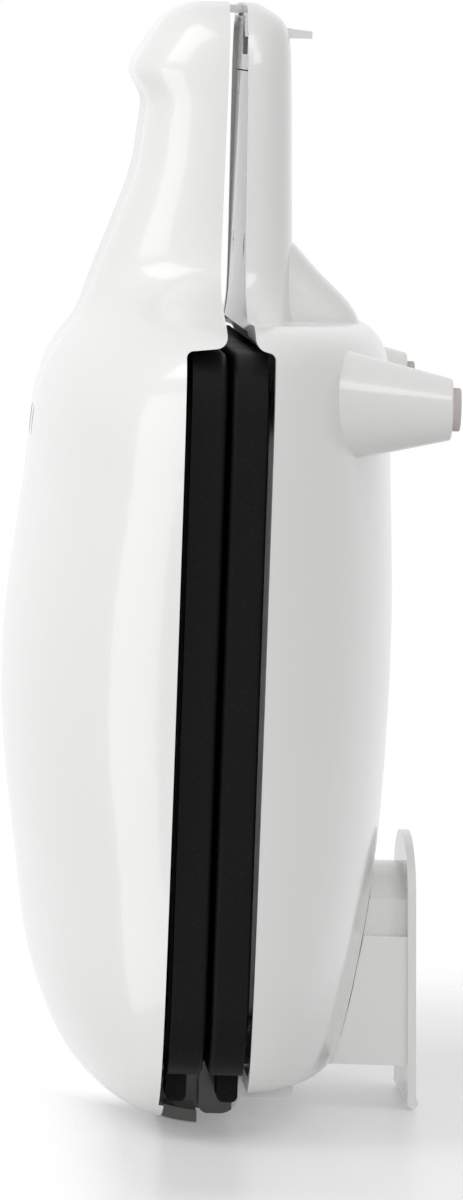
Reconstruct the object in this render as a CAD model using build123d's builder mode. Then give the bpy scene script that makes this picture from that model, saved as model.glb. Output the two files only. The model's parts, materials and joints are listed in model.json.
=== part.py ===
from build123d import *
import os
from math import cos, hypot, radians, sin

os.makedirs("parts", exist_ok=True)

# Waffle iron for two waffles side by side, lying ready for use.
# +Z up, handle towards -Y, hinge towards +Y, width along X.
# The origin is on the ground, under the middle of the whole iron.
# Heights called rest or rim are measured from the parting plane between the two plates.

# Overall size
DEPTH = 250.0
BODY_WIDTH = 236.0
LID_HEIGHT = 45.3
BASE_HEIGHT = 42.7
STAND_HEIGHT = 52.0
BODY_FRONT_SHARE = -0.192
WALL = 2.4
OVERRUN = 3.0
SEAT_GAP = 0.3
RUN_GAP = 0.05

# Rims of the two shells
LID_TIP_RIM = -0.3
LID_NECK_RIM = 0.75
LID_WINDOW_RIM = 9.65
LID_REAR_RIM = 0.6
LID_CORNER_RIM = 8.5
LID_REAR_CORNER = 38.0
BASE_TIP_RIM = -4.2
BASE_NECK_RIM = -5.4
BASE_WINDOW_RIM = -9.7
RIM_SWEEP_RADIUS = 2.8
RIM_CORNER_RADIUS = 1.6
SKIRT = 2.2

# Cooking plates
PLATE_SIDE_MARGIN = 6.0
PLATE_REAR_MARGIN = 13.8
PLATE_WIDTH = BODY_WIDTH - 2 * PLATE_SIDE_MARGIN
PLATE_FRONT = BODY_FRONT_SHARE * DEPTH
PLATE_REAR = DEPTH / 2 - PLATE_REAR_MARGIN
PLATE_GAP = 0.65
PLATE_RIM = 7.6
PLATE_BACK = 8.3
PLATE_CORNER = 14.0
PLATE_EDGE = 1.4
BACK_INSET = 5.0
WAFFLE_DIVIDER = 10.0
WAFFLE_MARGIN = 9.0
WAFFLE_WIDTH = (PLATE_WIDTH - WAFFLE_DIVIDER) / 2 - WAFFLE_MARGIN
WAFFLE_LENGTH = PLATE_REAR - PLATE_FRONT - 2 * WAFFLE_MARGIN
WAFFLE_PLACE = (WAFFLE_DIVIDER + WAFFLE_WIDTH) / 2
WAFFLE_DEPTH = 6.2
WAFFLE_CORNER = 9.0
STUD_COUNT_X = 5
STUD_COUNT_Y = 7
STUD_WIDTH = 11.0
STUD_HEIGHT = 3.6
STUD_TAPER = 24.0
TAB_PLACE = BODY_WIDTH / 2 - LID_REAR_CORNER
TAB_WIDTH = 14.0
TAB_REACH = 7.2
TAB_REST = 3.4
TAB_HEIGHT = 4.6
TAB_ROUND = 1.5

# Reflector trays and heating elements
TRAY_SIDE_MARGIN = 17.0
TRAY_END_MARGIN = 12.0
TRAY_HALF = PLATE_WIDTH / 2 - TRAY_SIDE_MARGIN
TRAY_FRONT = PLATE_FRONT + TRAY_END_MARGIN
TRAY_REAR = PLATE_REAR - TRAY_END_MARGIN
TRAY_DEPTH = 9.0
TRAY_SHEET = 0.8
TRAY_CORNER = 12.0
TRAY_NOTCH = 28.0
ELEMENT_RADIUS = 3.2
ELEMENT_MARGIN = 11.0
ELEMENT_TAIL = 19.0
ELEMENT_PROUD = 2.0
ELEMENT_HALF = TRAY_HALF - ELEMENT_MARGIN
ELEMENT_FRONT = TRAY_FRONT + ELEMENT_MARGIN
ELEMENT_REAR = TRAY_REAR - ELEMENT_TAIL
ELEMENT_END = TRAY_REAR + ELEMENT_PROUD
ELEMENT_MOUTH = 20.0
ELEMENT_BEND = 20.0
ELEMENT_MOUTH_BEND = 8.0
CLIP_WIDTH = 9.0
CLIP_SHEET = 1.0
CLIP_FOOT = 3.5
CLIP_PLACE = ELEMENT_HALF - ELEMENT_BEND - CLIP_WIDTH
POST_RADIUS = 4.2
POST_MARGIN = 17.0
POST_FRONT = ELEMENT_FRONT + POST_MARGIN
POST_REAR = ELEMENT_REAR - POST_MARGIN
SCREW_RADIUS = 1.6
SCREW_HEAD_RADIUS = 3.2
SCREW_HEAD = 1.8
SCREW_LENGTH = 26.0

# Hinge
HINGE_INSET = 6.2
HINGE_PLACE = DEPTH / 2 - HINGE_INSET
HINGE_DROP = 5.0
EAR_RADIUS = 4.6
EAR_CORNER = 2.0
EAR_MARGIN = 9.0
EAR_OUTER = TAB_PLACE - TAB_WIDTH / 2 - EAR_MARGIN
EAR_WIDTH = 8.0
EAR_SKIN = 1.5
EAR_FRONT = PLATE_REAR + SEAT_GAP
EAR_BLOCK_WIDTH = 14.0
EAR_BLOCK_TOP = -7.9
EAR_BLOCK_DROP = 21.1
EAR_BLOCK_ROUND = 1.6
KNUCKLE_RADIUS = 4.2
KNUCKLE_WIDTH = 8.0
KNUCKLE_HEIGHT = 13.0
KNUCKLE_LEAD = 3.2
KNUCKLE_TAIL = 4.4
PIN_RADIUS = 1.9

# Handle covers and their screws
COVER_SHEET = 2.0
COVER_LEAD = 3.5
COVER_REAR = PLATE_FRONT - COVER_LEAD
LID_COVER_REST = 0.8
BASE_COVER_REST = -5.45
COVER_BOSS = 3.4
COVER_SCREW_PLACE = 28.0
COVER_SCREW_LEAD = 21.0
COVER_SCREW_TAIL = 18.5
COVER_SCREW_FRONT = COVER_SCREW_LEAD - DEPTH / 2
COVER_SCREW_REAR = COVER_REAR - COVER_SCREW_TAIL
COVER_SCREW_HEAD_RADIUS = 2.6
COVER_SCREW_HEAD = 1.2
COVER_SCREW_RADIUS = 1.25
COVER_SCREW_LENGTH = 6.0

# Latch
LATCH_WIDTH = 25.0
LATCH_SIDE_GAP = 0.4
LATCH_REAR_GAP = 1.0
LATCH_INSET = 0.6
LATCH_PIVOT_INSET = 4.2
LATCH_BODY = 7.4
LATCH_SLOT = 4.0
LATCH_FRONT = LATCH_INSET - DEPTH / 2
LATCH_PIVOT = LATCH_FRONT + LATCH_PIVOT_INSET
LATCH_BACK = LATCH_FRONT + LATCH_BODY
LATCH_SLOT_REAR = LATCH_BACK + LATCH_SLOT
LATCH_PIVOT_REST = -9.5
LATCH_PLATE = 2.0
LATCH_NOSE = 2.5
LATCH_NOSE_HEIGHT = 1.5
LATCH_NOSE_REST = LID_COVER_REST + COVER_SHEET + SEAT_GAP
LATCH_TOP = LATCH_NOSE_REST + LATCH_NOSE_HEIGHT
LATCH_ROOT = -5.4
LATCH_TAB_END = -20.1
LATCH_TAB_TIP = 1.7
LATCH_CHIN_SHARES = [(-0.4764, 0.372), (-0.4783, 0.305), (-0.4875, 0.246), (-0.4962, 0.176)]
LATCH_PIN_RADIUS = 1.2
LATCH_PIN_HALF = 16.5
TIP_BLOCK_WALL = 3.5
TIP_BLOCK_REAR = LATCH_SLOT_REAR + TIP_BLOCK_WALL
SPRING_WIRE = 0.3
SPRING_RADIUS = 1.9
SPRING_TURNS = 3
SPRING_REST = -11.4

# Front feet
FOOT_SIDE_MARGIN = 33.0
FOOT_LEAD = 11.5
FOOT_PLACE_X = BODY_WIDTH / 2 - FOOT_SIDE_MARGIN
FOOT_PLACE_Y = PLATE_FRONT + FOOT_LEAD
FOOT_ROOT_RADIUS = 13.4
FOOT_END_RADIUS = 6.8
FOOT_ROOT_REST = -22.0
FOOT_EDGE = 0.6
PAD_RADIUS = 4.8
PAD_HEIGHT = 1.9
PAD_EDGE = 0.4
PAD_STEM_RADIUS = 2.0
PAD_STEM = 4.0

# Cord store under the rear
DRUM_REAR_INSET = 9.6
DRUM_LENGTH = 44.6
DRUM_NECK = 15.2
DRUM_REAR = DEPTH / 2 - DRUM_REAR_INSET
DRUM_FRONT = DRUM_REAR - DRUM_LENGTH
DRUM_SHOULDER = DRUM_FRONT + DRUM_NECK
DRUM_HALF = 26.0
DRUM_NOSE_HALF = 22.0
DRUM_NOSE = 7.0
DRUM_WALL = 2.2
DRUM_ROOT_REST = -28.0
DRUM_POST = 3.6
DRUM_POST_INSET = 9.2
FLANGE_LEAD = 7.1
FLANGE_FRONT = DRUM_FRONT - FLANGE_LEAD
FLANGE_HALF = 27.0
FLANGE_ARCH = 12.0
FLANGE_ARCH_SWEEP = 180
FLANGE_SHEET = 1.9
FLANGE_REST = -49.4
FLANGE_TILT = 2.05
FLANGE_LIP = 1.25
GLAND_INSET = 16.4
GLAND_PLACE = DRUM_REAR - GLAND_INSET
GLAND_REST = -41.5
GLAND_BORE = 3.4
GLAND_BODY = 4.6
GLAND_FLANGE = 5.5
GLAND_RIM = 1.2
GLAND_LENGTH = 6.5

# Lamps
LAMP_RADIUS = 3.5
LAMP_PLACE_X = 9.0
LAMP_LEAD = 20.0
LAMP_PLACE_Y = PLATE_FRONT + LAMP_LEAD
LAMP_SUNK = 0.1
LAMP_LENGTH = 10.0
LAMP_CROWN_SHARE = 0.888
HOLDER_WIDTH = 34.0
HOLDER_LENGTH = 14.0
HOLDER_SHEET = 1.6

# Controls and wiring
THERMOSTAT_RADIUS = 8.0
THERMOSTAT_HEIGHT = 6.0
THERMOSTAT_PLACE = (POST_FRONT + POST_REAR) / 2
FUSE_RADIUS = 2.0
FUSE_LENGTH = 14.0
FUSE_PLACE_X = 24.0
TERMINAL_WIDTH = 34.0
TERMINAL_LENGTH = 14.0
TERMINAL_HEIGHT = 9.0
TERMINAL_INSET = 11.0
TERMINAL_PLACE = TRAY_REAR - TERMINAL_INSET
TERMINAL_BORE = 1.6
WIRE_RADIUS = 1.5
WIRE_BEND = 2.7
WIRE_PLACE = 10.0
WIRE_LEAD = 5.7
WIRE_SHIFT = 4.6
WIRE_KNEE = 6.0
WIRE_RISER = HINGE_PLACE - WIRE_LEAD
WIRE_TURN = WIRE_RISER - WIRE_SHIFT

# Each row: place along the depth, half width, height, fullness of the side curve, half width
# of the crown and depth of the thumb channel in the crown, as shares of the sizes above.
CHANNEL_DEPTH = 2.2
LID_SHARES = [
    (-0.4990, 0.220, 0.130, 0.70, 0.10, 0.02),
    (-0.4950, 0.268, 0.208, 0.70, 0.12, 0.02),
    (-0.4850, 0.316, 0.294, 0.70, 0.14, 0.02),
    (-0.4700, 0.350, 0.358, 0.70, 0.15, 0.02),
    (-0.4520, 0.370, 0.416, 0.70, 0.16, 0.02),
    (-0.4350, 0.381, 0.450, 0.70, 0.17, 0.02),
    (-0.4210, 0.388, 0.416, 0.70, 0.18, 0.3),
    (-0.4080, 0.393, 0.386, 0.70, 0.186, 0.9),
    (-0.3900, 0.398, 0.393, 0.70, 0.186, 1.0),
    (-0.3680, 0.403, 0.405, 0.70, 0.186, 1.0),
    (-0.3420, 0.410, 0.430, 0.70, 0.186, 1.0),
    (-0.3130, 0.416, 0.482, 0.69, 0.186, 0.95),
    (-0.2840, 0.425, 0.540, 0.67, 0.186, 0.9),
    (-0.2580, 0.445, 0.594, 0.62, 0.186, 0.8),
    (-0.2380, 0.520, 0.630, 0.54, 0.186, 0.7),
    (-0.2240, 0.660, 0.656, 0.46, 0.186, 0.6),
    (-0.2130, 0.815, 0.680, 0.44, 0.186, 0.5),
    (-0.2000, 0.918, 0.724, 0.48, 0.186, 0.3),
    (-0.1800, 0.966, 0.800, 0.56, 0.17, 0.1),
    (-0.1500, 0.986, 0.863, 0.62, 0.14, 0.02),
    (-0.0800, 1.000, 0.908, 0.66, 0.08, 0.02),
    (0.0000, 1.000, 0.956, 0.68, 0.05, 0.02),
    (0.1000, 1.000, 1.000, 0.68, 0.04, 0.02),
    (0.2000, 0.997, 0.968, 0.68, 0.04, 0.02),
    (0.3000, 0.985, 0.890, 0.68, 0.04, 0.02),
    (0.3700, 0.968, 0.826, 0.69, 0.04, 0.02),
    (0.4200, 0.942, 0.728, 0.70, 0.04, 0.02),
    (0.4500, 0.905, 0.640, 0.71, 0.04, 0.02),
    (0.4700, 0.855, 0.541, 0.72, 0.04, 0.02),
    (0.4850, 0.780, 0.430, 0.73, 0.04, 0.02),
    (0.4950, 0.680, 0.309, 0.74, 0.04, 0.02),
    (0.5000, 0.560, 0.177, 0.75, 0.04, 0.02),
]
BASE_BODY_SHARES = [
    (-0.2150, 0.830, 0.720, 0.62, 0.04, 0.0),
    (-0.2110, 0.875, 0.805, 0.62, 0.04, 0.0),
    (-0.2040, 0.918, 0.860, 0.62, 0.04, 0.0),
    (-0.1920, 0.954, 0.905, 0.62, 0.04, 0.0),
    (-0.1720, 0.979, 0.937, 0.61, 0.04, 0.0),
    (-0.1400, 0.992, 0.951, 0.61, 0.04, 0.0),
    (-0.0800, 1.000, 0.965, 0.61, 0.04, 0.0),
    (0.0000, 1.000, 0.988, 0.61, 0.04, 0.0),
    (0.0720, 1.000, 1.000, 0.61, 0.04, 0.0),
    (0.1800, 0.997, 0.988, 0.61, 0.04, 0.0),
    (0.2520, 0.991, 0.965, 0.61, 0.04, 0.0),
    (0.3080, 0.983, 0.931, 0.61, 0.04, 0.0),
    (0.3520, 0.972, 0.895, 0.61, 0.04, 0.0),
    (0.3860, 0.957, 0.861, 0.61, 0.04, 0.0),
    (0.4120, 0.940, 0.831, 0.62, 0.04, 0.0),
    (0.4310, 0.921, 0.805, 0.63, 0.04, 0.0),
    (0.4450, 0.900, 0.778, 0.64, 0.04, 0.0),
    (0.4550, 0.872, 0.735, 0.65, 0.04, 0.0),
    (0.4612, 0.835, 0.650, 0.66, 0.04, 0.0),
]
BASE_HANDLE_SHARES = [
    (-0.4992, 0.225, 0.131, 0.80, 0.10, 0.0),
    (-0.4960, 0.275, 0.200, 0.80, 0.12, 0.0),
    (-0.4880, 0.318, 0.275, 0.81, 0.14, 0.0),
    (-0.4760, 0.347, 0.328, 0.82, 0.15, 0.0),
    (-0.4620, 0.365, 0.345, 0.83, 0.155, 0.0),
    (-0.4440, 0.380, 0.352, 0.84, 0.16, 0.0),
    (-0.4220, 0.389, 0.357, 0.84, 0.165, 0.0),
    (-0.3980, 0.396, 0.362, 0.85, 0.17, 0.0),
    (-0.3720, 0.402, 0.367, 0.85, 0.172, 0.0),
    (-0.3450, 0.407, 0.372, 0.85, 0.175, 0.0),
    (-0.3180, 0.411, 0.378, 0.85, 0.178, 0.0),
    (-0.2920, 0.416, 0.384, 0.85, 0.18, 0.0),
    (-0.2680, 0.425, 0.389, 0.84, 0.18, 0.0),
    (-0.2460, 0.442, 0.394, 0.82, 0.18, 0.0),
    (-0.2220, 0.505, 0.399, 0.78, 0.18, 0.0),
    (-0.1920, 0.620, 0.410, 0.74, 0.18, 0.0),
    (-0.1600, 0.680, 0.421, 0.72, 0.18, 0.0),
]
NECK_SHARES = [
    (-0.2900, 0.340, 0.340, 0.90, 0.20, 0.0),
    (-0.2640, 0.350, 0.500, 0.90, 0.20, 0.0),
    (-0.2400, 0.356, 0.648, 0.90, 0.20, 0.0),
    (-0.2240, 0.360, 0.728, 0.90, 0.20, 0.0),
    (-0.2050, 0.364, 0.772, 0.90, 0.20, 0.0),
    (-0.1600, 0.368, 0.800, 0.90, 0.20, 0.0),
]


def level(rest):
    """A height over the parting plane, as a height over the ground."""
    return STAND_HEIGHT + rest


def stations(shares, height):
    """Turn rows of shares into rows of real sizes."""
    half = BODY_WIDTH / 2
    rows = []
    for place, width, rise, fullness, crown, channel in shares:
        rows.append((place * DEPTH, width * half, rise * height, fullness,
                     crown * half, channel * CHANNEL_DEPTH))
    return rows


def inset(rows, wall):
    """Move a form's rows inwards by a wall, square to its profile and to its plan."""
    moved = []
    first = rows[0][0] + wall
    last = rows[-1][0] - wall
    for before, row, after in zip(rows, rows[1:], rows[2:]):
        run = after[0] - before[0]
        rise_slope = (after[2] - before[2]) / run
        plan_slope = (after[1] - before[1]) / run
        length = hypot(1, rise_slope)
        place = row[0] + wall * rise_slope / length
        half = row[1] - wall * hypot(1, plan_slope) + plan_slope * (place - row[0])
        height = row[2] - wall / length
        if first < place < last and (not moved or place > moved[-1][0] + WALL / 4):
            moved.append((place, half, height, row[3], min(row[4], half / 2), row[5]))
    return moved


def outset(rows, gap):
    """Move a form's rows outwards by a gap, its last section too."""
    place, half, height, *shape = rows[-1]
    return inset(rows, -gap) + [(place + gap, half + gap, height + gap, *shape)]


def arch(place, half, height, fullness, crown, channel, skirt, side):
    """One section across the iron: a soft arch over a straight skirt."""
    foot = -side * skirt
    top = side * height
    hold = side * (height * fullness - skirt * (1 - fullness))
    lean = crown + (half - crown) * fullness
    sag = side * (height - channel * 4 / 3)
    across = Plane(origin=(0, place, STAND_HEIGHT), x_dir=(1, 0, 0), z_dir=(0, -1, 0))
    with BuildSketch(across) as section:
        with BuildLine():
            Bezier((-half, foot), (-half, hold), (-lean, top), (-crown, top))
            Bezier((-crown, top), (-crown / 3, sag), (crown / 3, sag), (crown, top))
            Bezier((crown, top), (lean, top), (half, hold), (half, foot))
            Line((half, foot), (-half, foot))
        make_face()
    return section.sketch


def hull(rows, skirt, side):
    """The closed form through rows, above (side 1) or below (side -1) the parting plane."""
    with BuildPart() as form:
        for row in rows:
            add(arch(*row, skirt, side))
        loft()
    return form.part


def rim_cut(tip_rim, neck_rim, window_rim, window_end, rear_rim, far):
    """What is cut off a shell at its rim: handle line, sweep, side window, rear."""
    corner = PLATE_FRONT - WALL / 2
    sweep = (corner, level(neck_rim))
    window = (corner + WALL / 2, level(window_rim))
    step = []
    if rear_rim != window_rim:
        step = [(window_end, level(window_rim)), (window_end, level(rear_rim))]
    with BuildPart() as cutter:
        with BuildSketch(Plane.YZ.offset(-BODY_WIDTH)):
            with BuildLine():
                Polyline((-DEPTH, level(tip_rim)), (-DEPTH / 2, level(tip_rim)), sweep, window,
                         *step, (DEPTH, level(rear_rim)), (DEPTH, level(far)),
                         (-DEPTH, level(far)), close=True)
            make_face()
        extrude(amount=2 * BODY_WIDTH)
        long_edges = cutter.edges().filter_by(Axis.X)
        fillet(long_edges.sort_by_distance((0, *sweep))[0], RIM_SWEEP_RADIUS)
        long_edges = cutter.edges().filter_by(Axis.X)
        fillet(long_edges.sort_by_distance((0, *window))[0], RIM_CORNER_RADIUS)
    return cutter.part


def save(part, name):
    """Label one finished piece and write it."""
    part.label = name
    export_step(part, "parts/" + name + ".step")


# Common forms
lid_rows = stations(LID_SHARES, LID_HEIGHT)
body_rows = stations(BASE_BODY_SHARES, BASE_HEIGHT)
handle_rows = stations(BASE_HANDLE_SHARES, BASE_HEIGHT)
neck_rows = stations(NECK_SHARES, BASE_HEIGHT)
lid_outer = hull(lid_rows, SKIRT, 1)
lid_inner = hull(inset(lid_rows, WALL), SKIRT + OVERRUN, 1)
base_body = hull(body_rows, 0, -1)
base_body_inner = hull(inset(body_rows, WALL), OVERRUN, -1)
base_handle = hull(handle_rows, 0, -1)
base_handle_inner = hull(inset(handle_rows, WALL), OVERRUN, -1)
neck = hull(neck_rows, 0, -1)
neck_inner = hull(inset(neck_rows, WALL), OVERRUN, -1)
with BuildPart() as base_outer:
    add(base_body)
    add(base_handle)
    add(neck)
with BuildPart() as base_space:
    add(base_body_inner)
    add(base_handle_inner)
    add(neck_inner)
plate_middle = (PLATE_FRONT + PLATE_REAR) / 2
plate_length = PLATE_REAR - PLATE_FRONT
tray_rest = PLATE_GAP + PLATE_BACK + TRAY_DEPTH
element_rest = PLATE_GAP + PLATE_BACK + RUN_GAP + ELEMENT_RADIUS
post_places = [(0, POST_FRONT), (0, POST_REAR)]
cover_places = [(x, y) for x in (-COVER_SCREW_PLACE, COVER_SCREW_PLACE)
                for y in (COVER_SCREW_FRONT, COVER_SCREW_REAR)]


def bosses(places, radius, bore, rest, height, form, side):
    """Screw bosses from a height to the inside of a shell, bored for their screws."""
    with BuildPart() as posts:
        with BuildSketch(Plane.XY.offset(level(side * rest))):
            with Locations(*places):
                Circle(radius)
        extrude(amount=side * height)
        add(form, mode=Mode.INTERSECT)
        with BuildSketch(Plane.XY.offset(level(side * rest))):
            with Locations(*places):
                Circle(bore)
        extrude(amount=side * SCREW_LENGTH / 2, mode=Mode.SUBTRACT)
    return posts.part


# Upper shell with its half of the handle
latch_gap_half = LATCH_WIDTH / 2 + LATCH_SIDE_GAP
knuckle_middle = EAR_OUTER - EAR_WIDTH - SEAT_GAP - KNUCKLE_WIDTH / 2
plate_back = LATCH_FRONT + LATCH_PLATE
notch_rear = plate_back + LATCH_REAR_GAP
pocket_rear = plate_back + LATCH_NOSE + SEAT_GAP
notch_top = LATCH_TOP + SEAT_GAP
ledge_top = LATCH_NOSE_REST - SEAT_GAP
lid_cut = rim_cut(LID_TIP_RIM, LID_NECK_RIM, LID_WINDOW_RIM, HINGE_PLACE, LID_REAR_RIM,
                  -BASE_HEIGHT)
lid_posts = bosses(post_places, POST_RADIUS, SCREW_RADIUS + RUN_GAP, tray_rest + TRAY_SHEET,
                   LID_HEIGHT, lid_outer, 1)
lid_cover_bosses = bosses(cover_places, COVER_BOSS, COVER_SCREW_RADIUS + RUN_GAP,
                          LID_COVER_REST + COVER_SHEET, LID_HEIGHT, lid_outer, 1)
with BuildPart() as lid_shell:
    add(lid_outer)
    add(lid_inner, mode=Mode.SUBTRACT)
    add(lid_cut, mode=Mode.SUBTRACT)
    # the rear wall is lower than the side rims only between the rear corners
    with BuildSketch(Plane.XY.offset(level(LID_CORNER_RIM))):
        for side in (-1, 1):
            with Locations((side * (BODY_WIDTH - LID_REAR_CORNER) / 2, DEPTH / 2)):
                Rectangle(LID_REAR_CORNER, 2 * HINGE_INSET)
    extrude(amount=-LID_CORNER_RIM - OVERRUN, mode=Mode.SUBTRACT)
    # notch in the tip for the latch, and the pocket over the ledge that its nose holds
    with BuildSketch(Plane.XY.offset(level(notch_top))):
        with Locations((0, (notch_rear - DEPTH / 2 - OVERRUN) / 2)):
            Rectangle(2 * latch_gap_half, notch_rear + DEPTH / 2 + OVERRUN)
    extrude(amount=-notch_top - OVERRUN, mode=Mode.SUBTRACT)
    with BuildSketch(Plane.XY.offset(level(notch_top))):
        with Locations((0, (pocket_rear - DEPTH / 2 - OVERRUN) / 2)):
            Rectangle(2 * latch_gap_half, pocket_rear + DEPTH / 2 + OVERRUN)
    extrude(amount=ledge_top - notch_top, mode=Mode.SUBTRACT)
    add(lid_posts)
    add(lid_cover_bosses)
    # knuckles that hang from the rear wall onto the hinge pins
    for side in (-1, 1):
        inner_face = side * knuckle_middle - KNUCKLE_WIDTH / 2
        with BuildSketch(Plane.YZ.offset(inner_face)):
            with Locations((HINGE_PLACE, level(-HINGE_DROP))):
                Circle(KNUCKLE_RADIUS)
            with Locations((HINGE_PLACE + (KNUCKLE_TAIL - KNUCKLE_LEAD) / 2,
                            level(KNUCKLE_HEIGHT / 2 - HINGE_DROP))):
                Rectangle(KNUCKLE_LEAD + KNUCKLE_TAIL, KNUCKLE_HEIGHT)
        extrude(amount=KNUCKLE_WIDTH)
        with BuildSketch(Plane.YZ.offset(inner_face)):
            with Locations((HINGE_PLACE, level(-HINGE_DROP))):
                Circle(PIN_RADIUS + RUN_GAP)
        extrude(amount=KNUCKLE_WIDTH, mode=Mode.SUBTRACT)
    with BuildSketch(Plane.XY.offset(level(LID_HEIGHT / 2))):
        with Locations((-LAMP_PLACE_X, LAMP_PLACE_Y), (LAMP_PLACE_X, LAMP_PLACE_Y)):
            Circle(LAMP_RADIUS + RUN_GAP)
    extrude(amount=LID_HEIGHT, mode=Mode.SUBTRACT)
save(lid_shell.part, "lid_shell")


def handle_cover(name, rows, skirt, rest, front, side):
    """The flat inner cover of one half of the handle, with countersunk screw holes."""
    form = hull(inset(rows, WALL + SEAT_GAP), skirt, side)
    with BuildPart() as cover:
        add(form)
        with BuildSketch(Plane.XY.offset(level(rest))):
            with Locations((0, (front + COVER_REAR) / 2)):
                Rectangle(BODY_WIDTH, COVER_REAR - front)
        extrude(amount=side * COVER_SHEET, mode=Mode.INTERSECT)
        with BuildSketch(Plane.XY.offset(level(rest))):
            with Locations(*cover_places):
                Circle(COVER_SCREW_RADIUS + RUN_GAP)
        extrude(amount=side * COVER_SHEET, mode=Mode.SUBTRACT)
        with BuildSketch(Plane.XY.offset(level(rest))):
            with Locations(*cover_places):
                Circle(COVER_SCREW_HEAD_RADIUS + RUN_GAP)
        extrude(amount=side * COVER_SCREW_HEAD, mode=Mode.SUBTRACT)
    save(cover.part, name)


handle_cover("lid_handle_cover", lid_rows, SKIRT + OVERRUN, LID_COVER_REST, -DEPTH / 2, 1)
handle_cover("base_handle_cover", handle_rows, OVERRUN, BASE_COVER_REST,
             TIP_BLOCK_REAR + SEAT_GAP, -1)


def screw_group(name, places, rest, head_radius, head, radius, length, side):
    """Countersunk screws that share one size, heads flush at a height."""
    with BuildPart() as screws:
        with BuildSketch(Plane.XY.offset(level(rest))):
            with Locations(*places):
                Circle(head_radius)
        extrude(amount=side * (head - RUN_GAP))
        with BuildSketch(Plane.XY.offset(level(rest))):
            with Locations(*places):
                Circle(radius)
        extrude(amount=side * length)
        with BuildSketch(Plane.XY.offset(level(rest))):
            for x, y in places:
                with Locations((x, y)):
                    Rectangle(head_radius, head_radius / 4)
                    Rectangle(head_radius / 4, head_radius)
        extrude(amount=side * head / 2, mode=Mode.SUBTRACT)
    save(screws.part, name)


screw_group("lid_cover_screws", cover_places, LID_COVER_REST, COVER_SCREW_HEAD_RADIUS,
            COVER_SCREW_HEAD, COVER_SCREW_RADIUS, COVER_SCREW_LENGTH, 1)
screw_group("base_cover_screws", cover_places, BASE_COVER_REST, COVER_SCREW_HEAD_RADIUS,
            COVER_SCREW_HEAD, COVER_SCREW_RADIUS, COVER_SCREW_LENGTH, -1)


def cooking_plate(name, side):
    """One cooking plate: rimmed block, two waffle hollows with studs, posts and rear tabs."""
    face = Plane.XY.offset(level(side * PLATE_GAP))
    hollow_floor = Plane.XY.offset(level(side * (PLATE_GAP + WAFFLE_DEPTH)))
    back = Plane.XY.offset(level(side * (PLATE_GAP + PLATE_BACK)))
    with BuildPart() as plate:
        with BuildSketch(face):
            with Locations((0, plate_middle)):
                RectangleRounded(PLATE_WIDTH, plate_length, PLATE_CORNER)
        extrude(amount=side * PLATE_RIM)
        fillet(plate.faces().sort_by(Axis.Z)[0 if side > 0 else -1].edges(), PLATE_EDGE)
        with BuildSketch(face):
            with Locations((0, plate_middle)):
                RectangleRounded(PLATE_WIDTH - 2 * BACK_INSET, plate_length - 2 * BACK_INSET,
                                 PLATE_CORNER)
        extrude(amount=side * PLATE_BACK)
        with BuildSketch(face):
            with Locations((-WAFFLE_PLACE, plate_middle), (WAFFLE_PLACE, plate_middle)):
                RectangleRounded(WAFFLE_WIDTH, WAFFLE_LENGTH, WAFFLE_CORNER)
        extrude(amount=side * WAFFLE_DEPTH, mode=Mode.SUBTRACT)
        with BuildSketch(hollow_floor):
            with Locations((-WAFFLE_PLACE, plate_middle), (WAFFLE_PLACE, plate_middle)):
                with GridLocations(WAFFLE_WIDTH / STUD_COUNT_X, WAFFLE_LENGTH / STUD_COUNT_Y,
                                   STUD_COUNT_X, STUD_COUNT_Y):
                    Rectangle(STUD_WIDTH, STUD_WIDTH)
        extrude(amount=-side * STUD_HEIGHT, taper=STUD_TAPER)
        for place in (-TAB_PLACE, TAB_PLACE):
            with BuildSketch(Plane.YZ.offset(place - TAB_WIDTH / 2)):
                with Locations((PLATE_REAR + (TAB_REACH - BACK_INSET) / 2,
                                level(side * (TAB_REST + TAB_HEIGHT / 2)))):
                    RectangleRounded(TAB_REACH + BACK_INSET, TAB_HEIGHT, TAB_ROUND)
            extrude(amount=TAB_WIDTH)
        with BuildSketch(back):
            with Locations(*post_places):
                Circle(POST_RADIUS)
        extrude(amount=side * TRAY_DEPTH)
        with BuildSketch(face):
            with Locations(*post_places):
                Circle(SCREW_RADIUS + RUN_GAP)
        extrude(amount=side * (PLATE_BACK + TRAY_DEPTH), mode=Mode.SUBTRACT)
        with BuildSketch(face):
            with Locations(*post_places):
                Circle(SCREW_HEAD_RADIUS + RUN_GAP)
        extrude(amount=side * SCREW_HEAD, mode=Mode.SUBTRACT)
    save(plate.part, name)


def reflector_tray(name, side):
    """The sheet tray behind a plate, open towards it, notched for the element's ends."""
    middle = (TRAY_FRONT + TRAY_REAR) / 2
    length = TRAY_REAR - TRAY_FRONT
    rim = Plane.XY.offset(level(side * (PLATE_GAP + PLATE_BACK)))
    with BuildPart() as tray:
        with BuildSketch(rim):
            with Locations((0, middle)):
                RectangleRounded(2 * TRAY_HALF, length, TRAY_CORNER)
        extrude(amount=side * (TRAY_DEPTH + TRAY_SHEET))
        with BuildSketch(rim):
            with Locations((0, middle)):
                RectangleRounded(2 * (TRAY_HALF - TRAY_SHEET), length - 2 * TRAY_SHEET,
                                 TRAY_CORNER - TRAY_SHEET)
        extrude(amount=side * TRAY_DEPTH, mode=Mode.SUBTRACT)
        with BuildSketch(rim):
            with Locations((0, TRAY_REAR)):
                Rectangle(2 * TRAY_NOTCH, 4 * TRAY_SHEET)
        extrude(amount=side * TRAY_DEPTH, mode=Mode.SUBTRACT)
        with BuildSketch(rim):
            with Locations(*post_places):
                Circle(SCREW_RADIUS + RUN_GAP)
        extrude(amount=side * (TRAY_DEPTH + TRAY_SHEET), mode=Mode.SUBTRACT)
    save(tray.part, name)


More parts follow.
